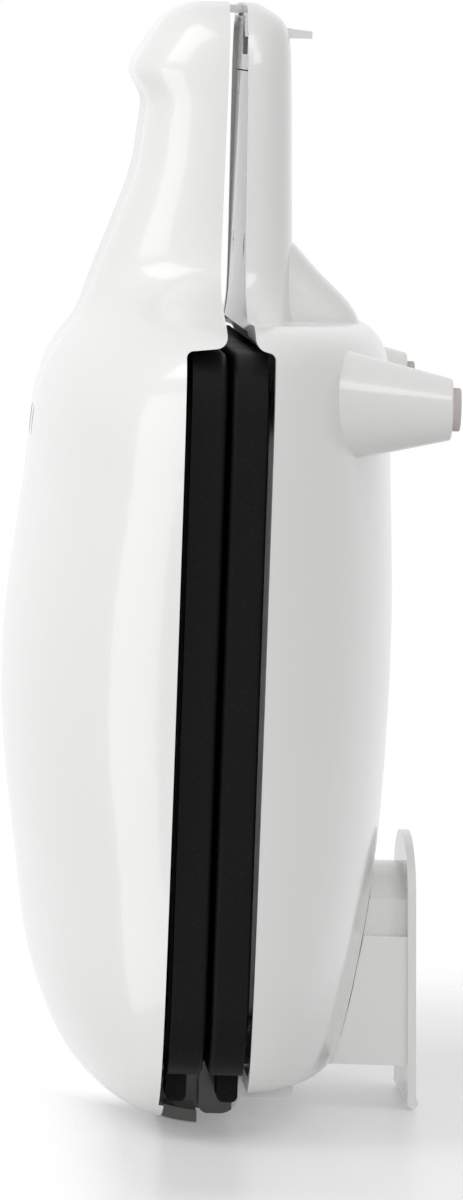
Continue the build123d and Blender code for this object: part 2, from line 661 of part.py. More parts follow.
def heating_element(name, side):
    """A tube heating element, bent once round behind the plate, both ends at the rear."""
    rest = level(side * element_rest)
    bends = [ELEMENT_MOUTH_BEND, ELEMENT_BEND, ELEMENT_BEND,
             ELEMENT_BEND, ELEMENT_BEND, ELEMENT_MOUTH_BEND]
    with BuildPart() as element:
        with BuildLine() as route:
            FilletPolyline((-ELEMENT_MOUTH, ELEMENT_END, rest),
                           (-ELEMENT_MOUTH, ELEMENT_REAR, rest),
                           (-ELEMENT_HALF, ELEMENT_REAR, rest),
                           (-ELEMENT_HALF, ELEMENT_FRONT, rest),
                           (ELEMENT_HALF, ELEMENT_FRONT, rest),
                           (ELEMENT_HALF, ELEMENT_REAR, rest),
                           (ELEMENT_MOUTH, ELEMENT_REAR, rest),
                           (ELEMENT_MOUTH, ELEMENT_END, rest), radius=bends)
        with BuildSketch(Plane(origin=(-ELEMENT_MOUTH, ELEMENT_END, rest), z_dir=(0, -1, 0))):
            Circle(ELEMENT_RADIUS)
        sweep(path=route.wires()[0])
    save(element.part, name)


def element_clips(name, side):
    """Strap clips over the element's cross runs, with feet on the plate's back."""
    back = PLATE_GAP + PLATE_BACK
    ring = ELEMENT_RADIUS + SEAT_GAP
    strap = ring + CLIP_SHEET
    top = back + RUN_GAP + ELEMENT_RADIUS
    with BuildPart() as clips:
        for run in (ELEMENT_FRONT, ELEMENT_REAR):
            for x in (-CLIP_PLACE, CLIP_PLACE):
                with BuildSketch(Plane.YZ.offset(x - CLIP_WIDTH / 2)):
                    with Locations((run, level(side * top))):
                        Circle(strap)
                    with Locations((run, level(side * (back + top) / 2))):
                        Rectangle(2 * strap, top - back)
                    with Locations((run, level(side * (back + CLIP_SHEET / 2)))):
                        Rectangle(2 * (strap + CLIP_FOOT), CLIP_SHEET)
                    with Locations((run, level(side * top))):
                        Circle(ring, mode=Mode.SUBTRACT)
                    with Locations((run, level(side * (back + top) / 2))):
                        Rectangle(2 * ring, top - back, mode=Mode.SUBTRACT)
                    with Locations((run, level(side * (back - strap)))):
                        Rectangle(2 * (strap + CLIP_FOOT), 2 * strap, mode=Mode.SUBTRACT)
                extrude(amount=CLIP_WIDTH)
    save(clips.part, name)


for half_name, side in (("upper", 1), ("lower", -1)):
    cooking_plate(half_name + "_plate", side)
    reflector_tray(half_name + "_tray", side)
    heating_element(half_name + "_element", side)
    element_clips(half_name + "_element_clips", side)
    screw_group(half_name + "_plate_screws", post_places, side * PLATE_GAP, SCREW_HEAD_RADIUS,
                SCREW_HEAD, SCREW_RADIUS, SCREW_LENGTH, side)

# Lower shell with its half of the handle, neck, feet and hinge ears
with BuildPart() as feet:
    foot_places = [(-FOOT_PLACE_X, FOOT_PLACE_Y), (FOOT_PLACE_X, FOOT_PLACE_Y)]
    for place in foot_places:
        with BuildSketch(Plane.XY.offset(PAD_HEIGHT)):
            with Locations(place):
                Circle(FOOT_END_RADIUS)
        with BuildSketch(Plane.XY.offset(level(FOOT_ROOT_REST))):
            with Locations(place):
                Circle(FOOT_ROOT_RADIUS)
        loft()
    fillet(feet.faces().filter_by(Axis.Z).group_by(Axis.Z)[0].edges(), FOOT_EDGE)
with BuildPart() as tip_block:
    add(base_handle)
    with BuildSketch(Plane.XY.offset(level(BASE_COVER_REST))):
        with Locations((0, (TIP_BLOCK_REAR - DEPTH / 2) / 2)):
            Rectangle(BODY_WIDTH, TIP_BLOCK_REAR + DEPTH / 2)
    extrude(amount=-BASE_HEIGHT, mode=Mode.INTERSECT)
base_cut = rim_cut(BASE_TIP_RIM, BASE_NECK_RIM, BASE_WINDOW_RIM, HINGE_PLACE, BASE_WINDOW_RIM,
                   LID_HEIGHT)
base_posts = bosses(post_places, POST_RADIUS, SCREW_RADIUS + RUN_GAP, tray_rest + TRAY_SHEET,
                    BASE_HEIGHT, base_body, -1)
base_cover_bosses = bosses(cover_places, COVER_BOSS, COVER_SCREW_RADIUS + RUN_GAP,
                           COVER_SHEET - BASE_COVER_REST, BASE_HEIGHT, base_outer.part, -1)
with BuildPart() as base_shell:
    add(base_outer.part)
    add(feet.part)
    add(base_space.part, mode=Mode.SUBTRACT)
    add(base_cut, mode=Mode.SUBTRACT)
    add(tip_block.part)
    add(base_posts)
    add(base_cover_bosses)
    # slot and pin bore for the latch
    with BuildSketch(Plane.XY.offset(level(0))):
        with Locations((0, (LATCH_SLOT_REAR - DEPTH / 2 - OVERRUN) / 2)):
            Rectangle(2 * latch_gap_half, LATCH_SLOT_REAR + DEPTH / 2 + OVERRUN)
    extrude(amount=-BASE_HEIGHT, mode=Mode.SUBTRACT)
    with BuildSketch(Plane.YZ.offset(-LATCH_PIN_HALF - SEAT_GAP)):
        with Locations((LATCH_PIVOT, level(LATCH_PIVOT_REST))):
            Circle(LATCH_PIN_RADIUS + RUN_GAP)
    extrude(amount=2 * (LATCH_PIN_HALF + SEAT_GAP), mode=Mode.SUBTRACT)
    # hinge ears on their blocks
    for side in (-1, 1):
        ear_face = side * (EAR_OUTER - EAR_WIDTH / 2) - EAR_WIDTH / 2
        with BuildSketch(Plane.YZ.offset(ear_face)):
            with Locations((HINGE_PLACE, level(-HINGE_DROP))):
                Circle(EAR_RADIUS)
            with Locations(((EAR_FRONT + HINGE_PLACE) / 2, level(-HINGE_DROP))):
                Rectangle(HINGE_PLACE - EAR_FRONT, 2 * EAR_RADIUS)
            with Locations((HINGE_PLACE, level(EAR_RADIUS / 4 - HINGE_DROP))):
                RectangleRounded(2 * EAR_RADIUS, EAR_RADIUS * 3 / 2, EAR_CORNER)
        extrude(amount=EAR_WIDTH)
        block_middle = side * (EAR_OUTER - EAR_WIDTH + EAR_BLOCK_WIDTH / 2)
        with BuildSketch(Plane.YZ.offset(block_middle - EAR_BLOCK_WIDTH / 2)):
            with Locations(((EAR_FRONT + HINGE_PLACE) / 2,
                            level((EAR_BLOCK_TOP - EAR_BLOCK_DROP) / 2))):
                RectangleRounded(HINGE_PLACE - EAR_FRONT, EAR_BLOCK_DROP + EAR_BLOCK_TOP,
                                 EAR_BLOCK_ROUND)
        extrude(amount=EAR_BLOCK_WIDTH)
        # the pin's bore is blind, closed by a skin on the outer side
        bore_depth = EAR_WIDTH - EAR_SKIN
        bore_face = side * (EAR_OUTER - EAR_SKIN - bore_depth / 2) - bore_depth / 2
        with BuildSketch(Plane.YZ.offset(bore_face)):
            with Locations((HINGE_PLACE, level(-HINGE_DROP))):
                Circle(PIN_RADIUS + RUN_GAP / 2)
        extrude(amount=bore_depth, mode=Mode.SUBTRACT)
    # notch in the rear wall that the wiring passes through
    with BuildSketch(Plane.XY.offset(level(BASE_WINDOW_RIM))):
        with Locations((WIRE_PLACE, DRUM_REAR)):
            Rectangle(2 * (WIRE_RADIUS + SEAT_GAP), 2 * (DRUM_REAR - WIRE_TURN))
    extrude(amount=-WIRE_KNEE, mode=Mode.SUBTRACT)
    # stem holes of the foot pads
    with BuildSketch(Plane.XY):
        with Locations(*foot_places):
            Circle(PAD_STEM_RADIUS + RUN_GAP)
    extrude(amount=PAD_HEIGHT + PAD_STEM + SEAT_GAP, mode=Mode.SUBTRACT)
save(base_shell.part, "base_shell")

for side_name, place in zip(("left", "right"), foot_places):
    with BuildPart() as foot_pad:
        with BuildSketch(Plane.XY):
            with Locations(place):
                Circle(PAD_RADIUS)
        extrude(amount=PAD_HEIGHT)
        fillet(foot_pad.faces().sort_by(Axis.Z)[0].edges(), PAD_EDGE)
        with BuildSketch(Plane.XY.offset(PAD_HEIGHT)):
            with Locations(place):
                Circle(PAD_STEM_RADIUS)
        extrude(amount=PAD_STEM)
    save(foot_pad.part, "foot_pad_" + side_name)

# Hinge pins, from the blind bores of the ears through the knuckles
pin_length = EAR_WIDTH - EAR_SKIN - RUN_GAP + SEAT_GAP + KNUCKLE_WIDTH
for side_name, side in (("left", -1), ("right", 1)):
    pin_end = side * (EAR_OUTER - EAR_SKIN - RUN_GAP)
    with BuildPart() as hinge_pin:
        with BuildSketch(Plane(origin=(pin_end, HINGE_PLACE, level(-HINGE_DROP)),
                               z_dir=(-side, 0, 0))):
            Circle(PIN_RADIUS)
        extrude(amount=pin_length)
        fillet(hinge_pin.edges().filter_by(GeomType.CIRCLE), PIN_RADIUS / 6)
    save(hinge_pin.part, "hinge_pin_" + side_name)

# Latch: one lever on a cross pin in the tip of the lower handle half
chin = [(place * DEPTH, level(-drop * BASE_HEIGHT)) for place, drop in LATCH_CHIN_SHARES]
with BuildPart() as latch_lever:
    with BuildSketch(Plane.YZ.offset(-LATCH_WIDTH / 2)):
        with BuildLine():
            Polyline((LATCH_FRONT, level(LATCH_TOP)),
                     (plate_back + LATCH_NOSE, level(LATCH_TOP)),
                     (plate_back + LATCH_NOSE, level(LATCH_NOSE_REST)),
                     (plate_back, level(LATCH_NOSE_REST)),
                     (plate_back, level(LATCH_ROOT)),
                     (LATCH_BACK, level(LATCH_ROOT - SEAT_GAP)),
                     (LATCH_BACK, level(LATCH_TAB_END)),
                     (LATCH_BACK - LATCH_TAB_TIP, level(LATCH_TAB_END)),
                     *chin, close=True)
        make_face()
        with Locations((LATCH_PIVOT, level(LATCH_PIVOT_REST))):
            Circle(LATCH_PIN_RADIUS + RUN_GAP, mode=Mode.SUBTRACT)
    extrude(amount=LATCH_WIDTH)
save(latch_lever.part, "latch_lever")

with BuildPart() as latch_pin:
    with BuildSketch(Plane.YZ.offset(-LATCH_PIN_HALF)):
        with Locations((LATCH_PIVOT, level(LATCH_PIVOT_REST))):
            Circle(LATCH_PIN_RADIUS)
    extrude(amount=2 * LATCH_PIN_HALF)
save(latch_pin.part, "latch_pin")

# Compression spring between the lever's back and the rear of its slot
spring_length = LATCH_SLOT_REAR - LATCH_BACK - 2 * SPRING_WIRE - 2 * RUN_GAP
spring_middle = (0, LATCH_BACK + SPRING_WIRE + RUN_GAP, level(SPRING_REST))
with BuildPart() as latch_spring:
    with BuildLine() as coil:
        Helix(pitch=spring_length / SPRING_TURNS, height=spring_length, radius=SPRING_RADIUS,
              center=spring_middle, direction=(0, 1, 0))
    with BuildSketch(Plane(origin=coil.edges()[0] @ 0, z_dir=coil.edges()[0] % 0)):
        Circle(SPRING_WIRE)
    sweep(path=coil.wires()[0], is_frenet=True)
save(latch_spring.part, "latch_spring")

# Cord store: drum and flange, tilted a little so that its rear edge stands on the ground
tilt = radians(FLANGE_TILT)
flange_plane = Plane(origin=(0, FLANGE_FRONT, level(FLANGE_REST + FLANGE_SHEET)),
                     x_dir=(1, 0, 0), z_dir=(0, -sin(tilt), -cos(tilt)))
flange_outside = flange_plane.offset(FLANGE_SHEET)
flange_length = (DEPTH / 2 - FLANGE_FRONT) / cos(tilt)
drum_posts = [(0, DRUM_FRONT + DRUM_POST_INSET), (0, DRUM_REAR - DRUM_POST_INSET)]
flange_places = [(x, (FLANGE_FRONT - y) / cos(tilt)) for x, y in drum_posts]


def drum_prism(wall):
    """The drum's outline, a rounded nose before wider shoulders, run down past the flange."""
    nose = DRUM_NOSE_HALF - wall
    half = DRUM_HALF - wall
    front = DRUM_FRONT + wall
    with BuildPart() as prism:
        with BuildSketch(Plane.XY.offset(level(DRUM_ROOT_REST))):
            with BuildLine():
                ThreePointArc((-nose, front + DRUM_NOSE), (0, front), (nose, front + DRUM_NOSE))
                Polyline((nose, front + DRUM_NOSE), (nose, DRUM_SHOULDER),
                         (half, DRUM_SHOULDER + wall), (half, DRUM_REAR - wall),
                         (-half, DRUM_REAR - wall), (-half, DRUM_SHOULDER + wall),
                         (-nose, DRUM_SHOULDER), (-nose, front + DRUM_NOSE))
            make_face()
        extrude(amount=-BASE_HEIGHT)
    return prism.part


with BuildPart() as below_flange:
    with BuildSketch(flange_plane):
        Rectangle(4 * DEPTH, 4 * DEPTH)
    extrude(amount=BASE_HEIGHT)
drum_form = drum_prism(0)
drum_space = drum_prism(DRUM_WALL)
drum_ceiling = hull(outset(body_rows, DRUM_WALL), OVERRUN, -1)
drum_seat = hull(outset(body_rows, SEAT_GAP), OVERRUN, -1)
with BuildPart() as drum_hollow:
    add(drum_space)
    add(drum_ceiling, mode=Mode.SUBTRACT)
    with BuildSketch(Plane.XY.offset(level(DRUM_ROOT_REST))):
        with Locations(*drum_posts):
            Circle(DRUM_POST)
    extrude(amount=-BASE_HEIGHT, mode=Mode.SUBTRACT)
with BuildPart() as cord_drum:
    add(drum_form)
    add(drum_seat, mode=Mode.SUBTRACT)
    add(drum_hollow.part, mode=Mode.SUBTRACT)
    add(below_flange.part, mode=Mode.SUBTRACT)
    with BuildSketch(flange_plane):
        with Locations(*flange_places):
            Circle(COVER_SCREW_RADIUS + RUN_GAP)
    extrude(amount=-COVER_SCREW_LENGTH, mode=Mode.SUBTRACT)
    with BuildSketch(Plane.YZ.offset(DRUM_HALF / 2)):
        with Locations((GLAND_PLACE, level(GLAND_REST))):
            Circle(GLAND_BODY + RUN_GAP)
    extrude(amount=DRUM_HALF, mode=Mode.SUBTRACT)
save(cord_drum.part, "cord_drum")

with BuildPart() as cord_flange:
    with BuildSketch(flange_plane):
        with BuildLine():
            EllipticalCenterArc((0, -FLANGE_ARCH), FLANGE_HALF, FLANGE_ARCH,
                                arc_size=FLANGE_ARCH_SWEEP)
            Polyline((FLANGE_HALF, -FLANGE_ARCH), (FLANGE_HALF, FLANGE_LIP - flange_length),
                     (-FLANGE_HALF, FLANGE_LIP - flange_length), (-FLANGE_HALF, -FLANGE_ARCH))
        make_face()
    extrude(amount=FLANGE_SHEET)
    with BuildSketch(Plane.YZ.offset(-FLANGE_HALF)):
        with Locations((DEPTH / 2 - FLANGE_LIP, FLANGE_LIP)):
            Circle(FLANGE_LIP)
    extrude(amount=2 * FLANGE_HALF)
    with BuildSketch(flange_plane):
        with Locations(*flange_places):
            Circle(COVER_SCREW_RADIUS + RUN_GAP)
    extrude(amount=FLANGE_SHEET, mode=Mode.SUBTRACT)
    with BuildSketch(flange_outside):
        with Locations(*flange_places):
            Circle(COVER_SCREW_HEAD_RADIUS + RUN_GAP)
    extrude(amount=-COVER_SCREW_HEAD, mode=Mode.SUBTRACT)
save(cord_flange.part, "cord_flange")

with BuildPart() as flange_screws:
    with BuildSketch(flange_outside):
        with Locations(*flange_places):
            Circle(COVER_SCREW_HEAD_RADIUS)
    extrude(amount=RUN_GAP - COVER_SCREW_HEAD)
    with BuildSketch(flange_outside):
        with Locations(*flange_places):
            Circle(COVER_SCREW_RADIUS)
    extrude(amount=-COVER_SCREW_LENGTH)
    with BuildSketch(flange_outside):
        with Locations(*flange_places):
            Rectangle(COVER_SCREW_HEAD_RADIUS, COVER_SCREW_HEAD_RADIUS / 4)
            Rectangle(COVER_SCREW_HEAD_RADIUS / 4, COVER_SCREW_HEAD_RADIUS)
    extrude(amount=-COVER_SCREW_HEAD / 2, mode=Mode.SUBTRACT)
save(flange_screws.part, "flange_screws")

gland_seat = Plane.YZ.offset(DRUM_HALF + RUN_GAP)
with BuildPart() as cord_gland:
    with BuildSketch(gland_seat):
        with Locations((GLAND_PLACE, level(GLAND_REST))):
            Circle(GLAND_FLANGE)
    extrude(amount=GLAND_RIM)
    with BuildSketch(gland_seat):
        with Locations((GLAND_PLACE, level(GLAND_REST))):
            Circle(GLAND_BODY)
    extrude(amount=GLAND_RIM - GLAND_LENGTH)
    with BuildSketch(gland_seat.offset(GLAND_RIM)):
        with Locations((GLAND_PLACE, level(GLAND_REST))):
            Circle(GLAND_BORE)
    extrude(amount=-GLAND_LENGTH, mode=Mode.SUBTRACT)
save(cord_gland.part, "cord_gland")

# Lamps in the crown of the lid, trimmed to lie just under its surface, and their holder
lamp_places = {"power_lamp": (-LAMP_PLACE_X, LAMP_PLACE_Y),
               "ready_lamp": (LAMP_PLACE_X, LAMP_PLACE_Y)}
lamp_floor = level(LAMP_CROWN_SHARE * LID_HEIGHT - LAMP_LENGTH)
lamp_skin = hull(inset(lid_rows, LAMP_SUNK), SKIRT, 1)
for name, place in lamp_places.items():
    with BuildPart() as lamp:
        with BuildSketch(Plane.XY.offset(lamp_floor)):
            with Locations(place):
                Circle(LAMP_RADIUS)
        extrude(amount=LID_HEIGHT)
        add(lamp_skin, mode=Mode.INTERSECT)
    save(lamp.part, name)
with BuildPart() as lamp_holder:
    with BuildSketch(Plane.XY.offset(lamp_floor)):
        with Locations((0, LAMP_PLACE_Y)):
            RectangleRounded(HOLDER_WIDTH, HOLDER_LENGTH, LAMP_RADIUS)
        with Locations(*lamp_places.values()):
            Circle(LAMP_RADIUS + RUN_GAP, mode=Mode.SUBTRACT)
    extrude(amount=HOLDER_SHEET)
save(lamp_holder.part, "lamp_holder")

# Thermostat and thermal fuse on the lower plate's back, terminal block under the lower tray
plate_back_rest = -PLATE_GAP - PLATE_BACK
with BuildPart() as thermostat:
    with BuildSketch(Plane.XY.offset(level(plate_back_rest))):
        with Locations((0, THERMOSTAT_PLACE)):
            Circle(THERMOSTAT_RADIUS)
    extrude(amount=-THERMOSTAT_HEIGHT)
    fillet(thermostat.faces().sort_by(Axis.Z)[0].edges(), THERMOSTAT_HEIGHT / 4)
save(thermostat.part, "thermostat")

fuse_rest = level(plate_back_rest - FUSE_RADIUS - RUN_GAP)
with BuildPart() as thermal_fuse:
    with BuildSketch(Plane.XZ.offset(FUSE_LENGTH / 2 - THERMOSTAT_PLACE)):
        with Locations((FUSE_PLACE_X, fuse_rest)):
            Circle(FUSE_RADIUS)
    extrude(amount=-FUSE_LENGTH)
    fillet(thermal_fuse.edges().filter_by(GeomType.CIRCLE), FUSE_RADIUS / 3)
save(thermal_fuse.part, "thermal_fuse")

terminal_top = -tray_rest - TRAY_SHEET
terminal_middle = terminal_top - TERMINAL_HEIGHT / 2
with BuildPart() as terminal_block:
    with BuildSketch(Plane.XY.offset(level(terminal_top))):
        with Locations((0, TERMINAL_PLACE)):
            Rectangle(TERMINAL_WIDTH, TERMINAL_LENGTH)
    extrude(amount=-TERMINAL_HEIGHT)
    with BuildSketch(Plane.XZ.offset(-TERMINAL_PLACE - TERMINAL_LENGTH / 2)):
        with Locations((-WIRE_PLACE, level(terminal_middle)), (0, level(terminal_middle)),
                       (WIRE_PLACE, level(terminal_middle))):
            Circle(TERMINAL_BORE)
    extrude(amount=TERMINAL_LENGTH, mode=Mode.SUBTRACT)
save(terminal_block.part, "terminal_block")


def wire(name, points, bends):
    """A sleeved wire along straight runs joined by arcs."""
    with BuildPart() as cable:
        with BuildLine() as route:
            FilletPolyline(*points, radius=bends)
        start = route.wires()[0]
        with BuildSketch(Plane(origin=start @ 0, z_dir=start % 0)):
            Circle(WIRE_RADIUS)
        sweep(path=route.wires()[0])
    save(cable.part, name)


# The two harnesses meet end to end on the hinge axis, so that the lid can turn
axis_rest = level(-HINGE_DROP)
wire("base_wiring",
     [(WIRE_PLACE, TERMINAL_PLACE + TERMINAL_LENGTH / 4, level(terminal_middle)),
      (WIRE_PLACE, WIRE_TURN, level(terminal_middle)),
      (WIRE_PLACE, WIRE_TURN, level(BASE_WINDOW_RIM - WIRE_KNEE)),
      (WIRE_PLACE, WIRE_RISER, level(BASE_WINDOW_RIM - WIRE_RADIUS / 2)),
      (WIRE_PLACE, WIRE_RISER, axis_rest),
      (WIRE_PLACE, HINGE_PLACE, axis_rest),
      (RUN_GAP, HINGE_PLACE, axis_rest)],
     [WIRE_BEND, WIRE_BEND, WIRE_BEND, WIRE_BEND, WIRE_BEND])
wire("lid_wiring",
     [(-RUN_GAP, HINGE_PLACE, axis_rest),
      (-WIRE_PLACE, HINGE_PLACE, axis_rest),
      (-WIRE_PLACE, HINGE_PLACE, level(element_rest)),
      (-ELEMENT_MOUTH, WIRE_RISER, level(element_rest)),
      (-ELEMENT_MOUTH, ELEMENT_END, level(element_rest))],
     [WIRE_BEND, WIRE_BEND, WIRE_BEND])
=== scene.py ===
import bpy
import json
from math import cos, radians, sin
from mathutils import Matrix, Vector


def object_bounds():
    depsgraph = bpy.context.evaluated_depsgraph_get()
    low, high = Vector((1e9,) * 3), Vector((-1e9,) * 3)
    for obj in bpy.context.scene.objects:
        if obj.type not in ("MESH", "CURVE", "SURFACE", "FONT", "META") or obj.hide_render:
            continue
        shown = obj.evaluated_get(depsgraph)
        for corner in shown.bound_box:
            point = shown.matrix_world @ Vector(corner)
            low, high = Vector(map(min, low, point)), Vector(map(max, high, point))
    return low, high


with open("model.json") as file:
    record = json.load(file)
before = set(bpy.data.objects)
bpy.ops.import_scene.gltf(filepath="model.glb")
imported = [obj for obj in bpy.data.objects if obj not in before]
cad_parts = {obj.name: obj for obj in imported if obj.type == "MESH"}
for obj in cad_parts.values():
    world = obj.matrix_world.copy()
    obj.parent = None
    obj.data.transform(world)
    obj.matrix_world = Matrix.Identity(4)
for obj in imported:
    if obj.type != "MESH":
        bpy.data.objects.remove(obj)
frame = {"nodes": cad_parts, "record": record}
cad_low, cad_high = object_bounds()
scene = bpy.context.scene
MM = 0.001

# Camera, found by fitting measured features of the photograph. Its yaw is towards the lid's
# side, its rise is above the storage floor, and its roll turns the picture, all in degrees.
# Its distance, target and far limit are in metres.
CAMERA_YAW = 2.55
CAMERA_RISE = 3.28
CAMERA_ROLL = 2.0
CAMERA_DISTANCE = 2.3
CAMERA_TARGET = (0.0, 0.01205, 0.04527)
CAMERA_FAR = 20.0
PHOTO_SCALE_PX_PER_MM = 4.36
PHOTO_HEIGHT_PX = 1200
SENSOR_MM = 36.0
PICTURE_UP = Vector((0, -1, 0))


def photo_camera():
    """The photograph's long lens, on the -X side, with the handle up in the picture."""
    yaw, rise, roll = radians(CAMERA_YAW), radians(CAMERA_RISE), radians(CAMERA_ROLL)
    back = Vector((-cos(rise) * cos(yaw), -sin(rise), cos(rise) * sin(yaw)))
    right = PICTURE_UP.cross(back).normalized()
    up = back.cross(right)
    turned_right = right * cos(roll) + up * sin(roll)
    turned_up = up * cos(roll) - right * sin(roll)
    data = bpy.data.cameras.new("photo_camera")
    data.sensor_width = SENSOR_MM
    focal_px = PHOTO_SCALE_PX_PER_MM * CAMERA_DISTANCE / MM
    data.lens = SENSOR_MM * focal_px / PHOTO_HEIGHT_PX
    data.clip_end = CAMERA_FAR
    camera = bpy.data.objects.new("photo_camera", data)
    scene.collection.objects.link(camera)
    turn = Matrix((turned_right, turned_up, back)).transposed()
    place = Vector(CAMERA_TARGET) + back * CAMERA_DISTANCE
    camera.matrix_world = Matrix.Translation(place) @ turn.to_4x4()
    scene.camera = camera
    return turned_right, turned_up, back


view_right, view_up, view_back = photo_camera()
scene.view_settings.view_transform = "Standard"

# The Mix node's colour sockets, which share their names with its sockets of other kinds
MIX_FIRST = 6
MIX_SECOND = 7
MIX_RESULT = 2
RAMP_MIDDLE = 0.5
MOTTLE_START = 0.3
MOTTLE_END = 0.7


def shaded(color, amount):
    return tuple(part * amount for part in color)


class Material:
    """A node material, with short helpers for the nodes that it is built from."""

    def __init__(self, name):
        self.data = bpy.data.materials.new(name)
        self.data.use_nodes = True
        self.nodes = self.data.node_tree.nodes
        self.links = self.data.node_tree.links
        self.shader = self.nodes["Principled BSDF"]
        coordinates = self.nodes.new("ShaderNodeTexCoord")
        self.place = coordinates.outputs["Object"]

    def set(self, **values):
        """Constants of the shader, by the names of its sockets."""
        for name, value in values.items():
            self.shader.inputs[name.replace("_", " ")].default_value = value

    def feed(self, name, value):
        self.links.new(value, self.shader.inputs[name])

    def axis(self, name):
        """One of the object's own coordinates."""
        node = self.nodes.new("ShaderNodeSeparateXYZ")
        self.links.new(self.place, node.inputs["Vector"])
        return node.outputs[name]

    def noise(self, scale, detail=2.0, stretch=None):
        source = self.place
        if stretch is not None:
            mapping = self.nodes.new("ShaderNodeMapping")
            mapping.inputs["Scale"].default_value = stretch
            self.links.new(self.place, mapping.inputs["Vector"])
            source = mapping.outputs["Vector"]
        texture = self.nodes.new("ShaderNodeTexNoise")
        texture.inputs["Scale"].default_value = scale
        texture.inputs["Detail"].default_value = detail
        self.links.new(source, texture.inputs["Vector"])
        return texture.outputs["Fac"]

    def math(self, operation, *values):
        """An operation on sockets and numbers."""
        node = self.nodes.new("ShaderNodeMath")
        node.operation = operation
        for socket, value in zip(node.inputs, values):
            if isinstance(value, float):
                socket.default_value = value
            else:
                self.links.new(value, socket)
        return node.outputs["Value"]

    def step(self, value, start, end):
        """0 at start and 1 at end, with a soft step between; start may be the larger."""
        node = self.nodes.new("ShaderNodeMapRange")
        node.interpolation_type = "SMOOTHSTEP"
        node.inputs["From Min"].default_value = start
        node.inputs["From Max"].default_value = end
        self.links.new(value, node.inputs["Value"])
        return node.outputs["Result"]

    def ramp(self, value, stops):
        """Colour by a value, through stops of a place and a colour, in rising order."""
        node = self.nodes.new("ShaderNodeValToRGB")
        elements = node.color_ramp.elements
        while len(elements) < len(stops):
            elements.new(RAMP_MIDDLE)
        for element, (position, color) in zip(elements, stops):
            element.position = position
            element.color = (*color, 1.0)
        self.links.new(value, node.inputs["Fac"])
        return node.outputs["Color"]

    def mottled(self, pattern, color, darkest, start=MOTTLE_START):
        """The colour, darkened to a share of itself where the pattern is low."""
        return self.ramp(pattern, [(start, shaded(color, darkest)), (MOTTLE_END, color)])

    def mixed(self, factor, first, second):
        """Colour from a socket's to a set colour, by a factor."""
        node = self.nodes.new("ShaderNodeMix")
        node.data_type = "RGBA"
        self.links.new(factor, node.inputs["Factor"])
        self.links.new(first, node.inputs[MIX_FIRST])
        node.inputs[MIX_SECOND].default_value = (*second, 1.0)
        return node.outputs[MIX_RESULT]

    def rough(self, pattern, low, high):
        """A gloss that the pattern makes uneven, between two values of roughness."""
        node = self.nodes.new("ShaderNodeMapRange")
        node.inputs["To Min"].default_value = low
        node.inputs["To Max"].default_value = high
        self.links.new(pattern, node.inputs["Value"])
        self.feed("Roughness", node.outputs["Result"])

    def bump(self, pattern, height, strength=1.0):
        node = self.nodes.new("ShaderNodeBump")
        node.inputs["Distance"].default_value = height
        node.inputs["Strength"].default_value = strength
        self.links.new(pattern, node.inputs["Height"])
        self.feed("Normal", node.outputs["Normal"])


# Painted shade on the hinge end: a dark colour behind this place, between these two heights,
# where the white plastic lies in shade
HINGE_SHADE_Y = 0.1105
HINGE_SHADE_LOW = 0.0442
HINGE_SHADE_HIGH = 0.0606
HINGE_SHADE_COLOR = (0.055, 0.049, 0.045)


def painted_hinge_shade(made):
    """1 where shade is painted on the hinge end and 0 elsewhere, from the part's own
    coordinates.
    """
    height = made.axis("Z")
    above = made.math("GREATER_THAN", height, HINGE_SHADE_LOW)
    below = made.math("LESS_THAN", height, HINGE_SHADE_HIGH)
    behind = made.math("GREATER_THAN", made.axis("Y"), HINGE_SHADE_Y)
    return made.math("MULTIPLY", behind, made.math("MULTIPLY", above, below))


def moulded(name, color, roughness, coat=0.0, hinge=False, grain=0.00002):
    """Moulded plastic: a trace of flow colour, a slightly uneven gloss and a fine skin, and
    where asked, painted shade on the hinge end.
    """
    made = Material(name)
    tone = made.mottled(made.noise(scale=14.0, detail=3.0), color, darkest=0.985)
    # Painted shade: the hinge end is coloured dark where it lies in shade
    if hinge:
        tone = made.mixed(painted_hinge_shade(made), tone, HINGE_SHADE_COLOR)
    made.feed("Base Color", tone)
    made.rough(made.noise(scale=60.0), low=roughness * 0.85, high=roughness * 1.15)
    made.bump(made.noise(scale=900.0, detail=1.0), height=grain)
    made.set(IOR=1.47, Coat_Weight=coat, Coat_Roughness=0.04)
    return made.data


def coated(name, color, roughness):
    """Non-stick coating on cast metal: near black, faintly speckled, with fine pits."""
    made = Material(name)
    speck = made.noise(scale=2600.0)
    dark, pale = shaded(color, 0.8), shaded(color, 3.0)
    made.feed("Base Color", made.ramp(speck, [(0.35, dark), (0.6, color), (0.74, pale)]))
    made.rough(made.noise(scale=45.0, detail=4.0), low=roughness * 0.8, high=roughness * 1.25)
    made.bump(speck, height=0.00006, strength=0.7)
    made.set(IOR=1.45, Specular_IOR_Level=0.12)
    return made.data


def metal(name, color, roughness, stretch=(1.0, 1.0, 1.0)):
    """Bare metal, with drawing or rolling lines where its pattern is stretched."""
    made = Material(name)
    lines = made.noise(scale=400.0, detail=3.0, stretch=stretch)
    stain = made.noise(scale=30.0, detail=3.0)
    made.feed("Base Color", made.mottled(stain, color, darkest=0.86))
    made.rough(lines, low=roughness * 0.75, high=roughness * 1.3)
    made.bump(lines, height=0.00002, strength=0.6)
    made.set(Metallic=1.0)
    return made.data


def rubber(name, color):
    """Matte rubber: slightly dusty, with a fine grain."""
    made = Material(name)
    dust = made.noise(scale=120.0, detail=4.0)
    made.feed("Base Color", made.mottled(dust, color, darkest=0.9, start=0.35))
    made.rough(dust, low=0.55, high=0.75)
    made.bump(made.noise(scale=1800.0, detail=1.0), height=0.00003)
    return made.data


